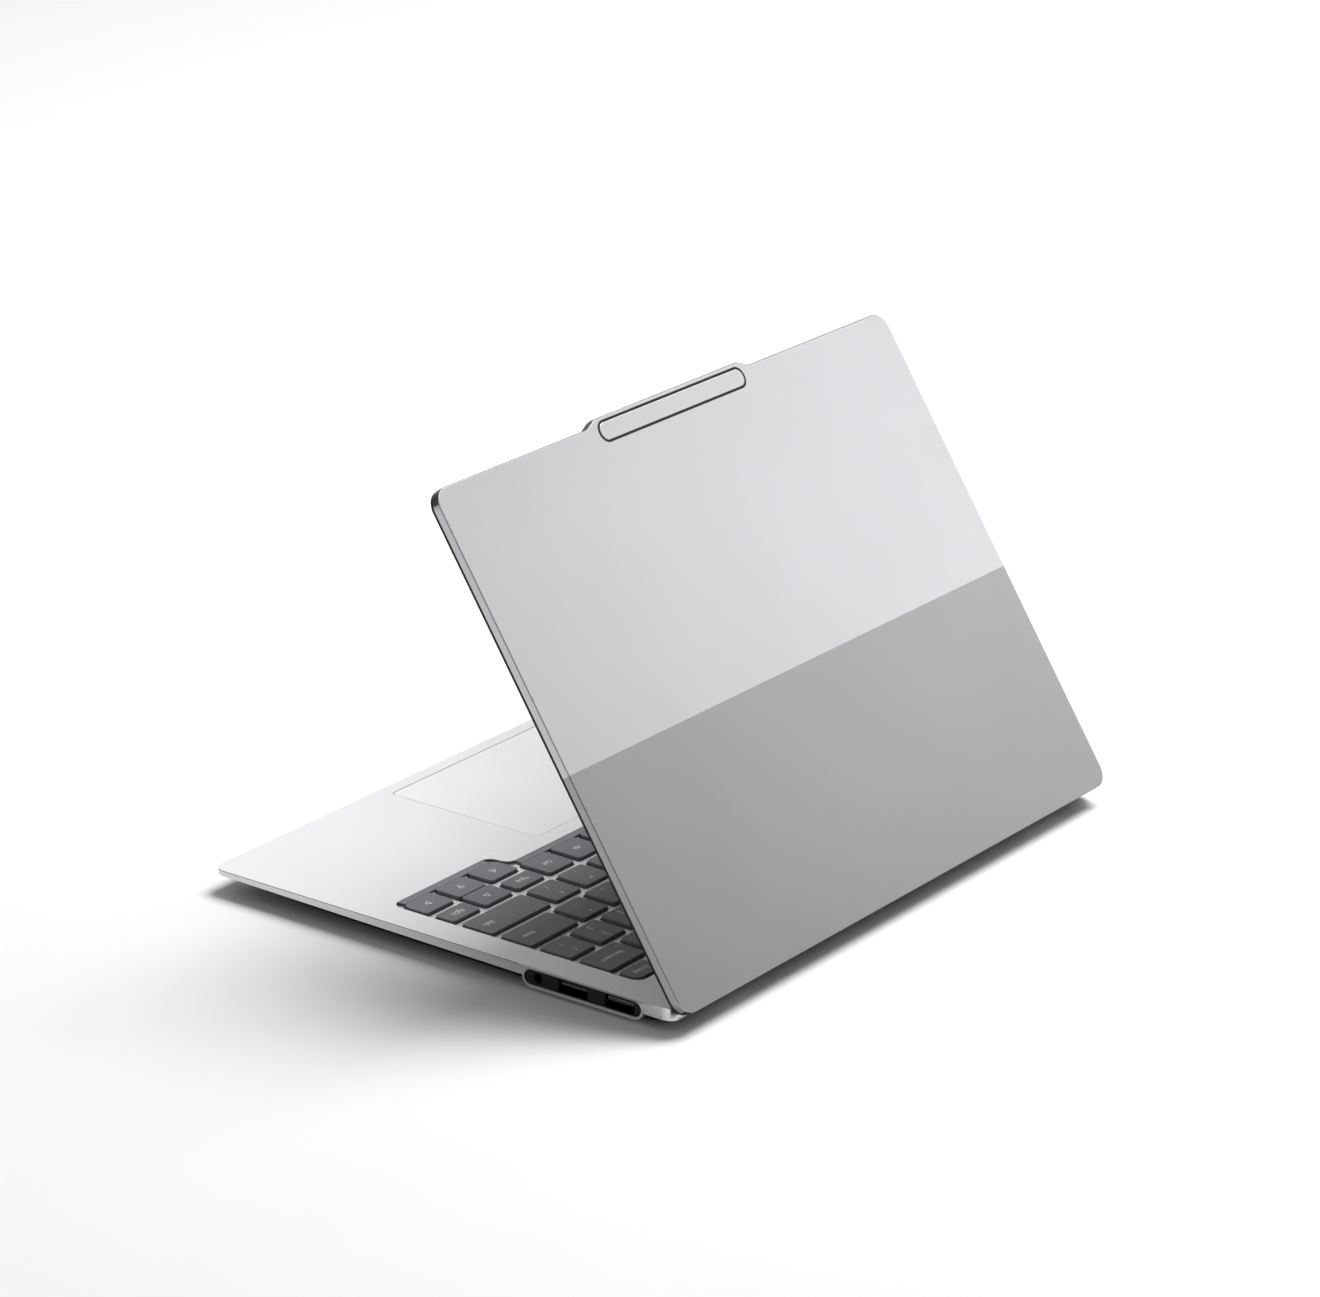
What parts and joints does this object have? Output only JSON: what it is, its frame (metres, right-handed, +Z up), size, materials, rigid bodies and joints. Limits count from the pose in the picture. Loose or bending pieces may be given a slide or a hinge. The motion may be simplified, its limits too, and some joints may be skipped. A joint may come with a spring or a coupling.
{
  "type": "laptop computer",
  "caption": "Thin open laptop with a two-tone aluminium lid, a camera tab on its top edge, a sunk keyboard, a large touchpad and side ports.",
  "frame": {"origin": "on the table, under the middle of the box of the machine as it stands open", "axes": "+X to the user's right, +Y to the rear, +Z up"},
  "size_m": [0.2934, 0.2092, 0.1779],
  "materials": {
    "lid_aluminium": "bead blasted and anodised, upper part lighter than the lower",
    "deck_aluminium": "bead blasted and anodised silver",
    "hull_paint": "dark grey satin paint",
    "keycaps": "fine moulded texture, dark grey",
    "black_plastic": "moulded, satin",
    "screen_glass": "dark, glossy",
    "panel_frame": "plain",
    "black_rubber": "matt",
    "steel": "plain",
    "circuit_board": "solder mask",
    "copper": "plain copper",
    "battery_wrap": "foil wrap",
    "cable_film": "flat film",
    "pad_glass": "fine frosted glass, silver"
  },
  "bodies": {
    "base": {"keyboard_deck": "deck_aluminium", "bottom_cover": "hull_paint", "bottom_screws": "steel", "rubber_feet": "black_rubber", "keyboard_plate": "steel", "key_domes": "black_rubber", "touchpad_bracket": "steel", "hinge_bracket_left": "steel", "hinge_bracket_right": "steel", "hinge_pins": "steel", "hinge_screws": "steel", "port_plate": "black_plastic", "audio_jack": "black_plastic", "usb_port_front": "steel", "usb_port_rear": "steel", "mainboard": "circuit_board", "board_chips": "circuit_board", "heat_pipe": "copper", "cooling_fins": "copper", "fan_housing": "black_plastic", "storage_card": "circuit_board", "wireless_card": "circuit_board", "battery_pack": "battery_wrap", "speakers": "black_plastic"},
    "lid": {"lid_back_cover": "lid_aluminium", "camera_bar_trim": "black_plastic", "camera_bar_plate": "lid_aluminium", "screen_bezel": "black_plastic", "display_glass": "screen_glass", "lcd_panel": "panel_frame", "lid_gasket": "black_rubber", "camera_module": "black_plastic", "camera_lens": "screen_glass", "hinge_leaf_left": "steel", "hinge_leaf_right": "steel", "lid_hinge_screws": "steel", "display_cable": "cable_film"},
    "fan_rotor": {"fan_rotor": "black_plastic"},
    "touchpad": {"touchpad": "pad_glass"},
    "power_button": {"power_button": "deck_aluminium"},
    "escape_key": {"escape_key": "keycaps"},
    "delete_key": {"delete_key": "keycaps"},
    "function_keys": {"function_keys": "keycaps"},
    "number_row_keys": {"number_row_keys": "keycaps"},
    "backspace_key": {"backspace_key": "keycaps"},
    "upper_row_keys": {"upper_row_keys": "keycaps"},
    "home_row_keys": {"home_row_keys": "keycaps"},
    "enter_key": {"enter_key": "keycaps"},
    "left_shift_key": {"left_shift_key": "keycaps"},
    "right_shift_key": {"right_shift_key": "keycaps"},
    "lower_row_keys": {"lower_row_keys": "keycaps"},
    "modifier_keys": {"modifier_keys": "keycaps"},
    "space_bar": {"space_bar": "keycaps"},
    "left_arrow_key": {"left_arrow_key": "keycaps"},
    "right_arrow_key": {"right_arrow_key": "keycaps"},
    "up_arrow_key": {"up_arrow_key": "keycaps"},
    "down_arrow_key": {"down_arrow_key": "keycaps"},
    "page_up_key": {"page_up_key": "keycaps"},
    "page_down_key": {"page_down_key": "keycaps"}
  },
  "joints": [
    {"name": "lid_hinge", "type": "hinge", "parent": "base", "child": "lid", "pos_m": [0, 0.09645, 0.0062], "axis": [-1, 0, 0], "range_deg": [-55.6, 69.4]},
    {"name": "fan_spin", "type": "hinge", "parent": "base", "child": "fan_rotor", "pos_m": [-0.06, 0.05275, 0.0045], "axis": [0, 0, 1], "continuous": true},
    {"name": "touchpad_click", "type": "hinge", "parent": "base", "child": "touchpad", "pos_m": [-0.0145, -0.03525, 0.0077], "axis": [1, 0, 0], "range_deg": [0, 0.4], "stiffness_Nm_per_rad": 17, "springref_deg": -0.06},
    {"name": "power_press", "type": "slide", "parent": "base", "child": "power_button", "axis": [0, 0, -1], "range_m": [0, 0.0003], "stiffness_N_per_m": 2000, "springref_m": -0.0003},
    {"name": "escape_press", "type": "slide", "parent": "base", "child": "escape_key", "axis": [0, 0, -1], "range_m": [0, 0.0012], "stiffness_N_per_m": 400, "springref_m": -0.0008},
    {"name": "delete_press", "type": "slide", "parent": "base", "child": "delete_key", "axis": [0, 0, -1], "range_m": [0, 0.0012], "stiffness_N_per_m": 400, "springref_m": -0.0008},
    {"name": "function_press", "type": "slide", "parent": "base", "child": "function_keys", "axis": [0, 0, -1], "range_m": [0, 0.0012], "stiffness_N_per_m": 400, "springref_m": -0.0008},
    {"name": "number_row_press", "type": "slide", "parent": "base", "child": "number_row_keys", "axis": [0, 0, -1], "range_m": [0, 0.0012], "stiffness_N_per_m": 400, "springref_m": -0.0008},
    {"name": "backspace_press", "type": "slide", "parent": "base", "child": "backspace_key", "axis": [0, 0, -1], "range_m": [0, 0.0012], "stiffness_N_per_m": 400, "springref_m": -0.0008},
    {"name": "upper_row_press", "type": "slide", "parent": "base", "child": "upper_row_keys", "axis": [0, 0, -1], "range_m": [0, 0.0012], "stiffness_N_per_m": 400, "springref_m": -0.0008},
    {"name": "home_row_press", "type": "slide", "parent": "base", "child": "home_row_keys", "axis": [0, 0, -1], "range_m": [0, 0.0012], "stiffness_N_per_m": 400, "springref_m": -0.0008},
    {"name": "enter_press", "type": "slide", "parent": "base", "child": "enter_key", "axis": [0, 0, -1], "range_m": [0, 0.0012], "stiffness_N_per_m": 400, "springref_m": -0.0008},
    {"name": "left_shift_press", "type": "slide", "parent": "base", "child": "left_shift_key", "axis": [0, 0, -1], "range_m": [0, 0.0012], "stiffness_N_per_m": 400, "springref_m": -0.0008},
    {"name": "right_shift_press", "type": "slide", "parent": "base", "child": "right_shift_key", "axis": [0, 0, -1], "range_m": [0, 0.0012], "stiffness_N_per_m": 400, "springref_m": -0.0008},
    {"name": "lower_row_press", "type": "slide", "parent": "base", "child": "lower_row_keys", "axis": [0, 0, -1], "range_m": [0, 0.0012], "stiffness_N_per_m": 400, "springref_m": -0.0008},
    {"name": "modifier_press", "type": "slide", "parent": "base", "child": "modifier_keys", "axis": [0, 0, -1], "range_m": [0, 0.0012], "stiffness_N_per_m": 400, "springref_m": -0.0008},
    {"name": "space_bar_press", "type": "slide", "parent": "base", "child": "space_bar", "axis": [0, 0, -1], "range_m": [0, 0.0012], "stiffness_N_per_m": 400, "springref_m": -0.0008},
    {"name": "left_arrow_press", "type": "slide", "parent": "base", "child": "left_arrow_key", "axis": [0, 0, -1], "range_m": [0, 0.0012], "stiffness_N_per_m": 400, "springref_m": -0.0008},
    {"name": "right_arrow_press", "type": "slide", "parent": "base", "child": "right_arrow_key", "axis": [0, 0, -1], "range_m": [0, 0.0012], "stiffness_N_per_m": 400, "springref_m": -0.0008},
    {"name": "up_arrow_press", "type": "slide", "parent": "base", "child": "up_arrow_key", "axis": [0, 0, -1], "range_m": [0, 0.0012], "stiffness_N_per_m": 400, "springref_m": -0.0008},
    {"name": "down_arrow_press", "type": "slide", "parent": "base", "child": "down_arrow_key", "axis": [0, 0, -1], "range_m": [0, 0.0012], "stiffness_N_per_m": 400, "springref_m": -0.0008},
    {"name": "page_up_press", "type": "slide", "parent": "base", "child": "page_up_key", "axis": [0, 0, -1], "range_m": [0, 0.0012], "stiffness_N_per_m": 400, "springref_m": -0.0008},
    {"name": "page_down_press", "type": "slide", "parent": "base", "child": "page_down_key", "axis": [0, 0, -1], "range_m": [0, 0.0012], "stiffness_N_per_m": 400, "springref_m": -0.0008}
  ]
}
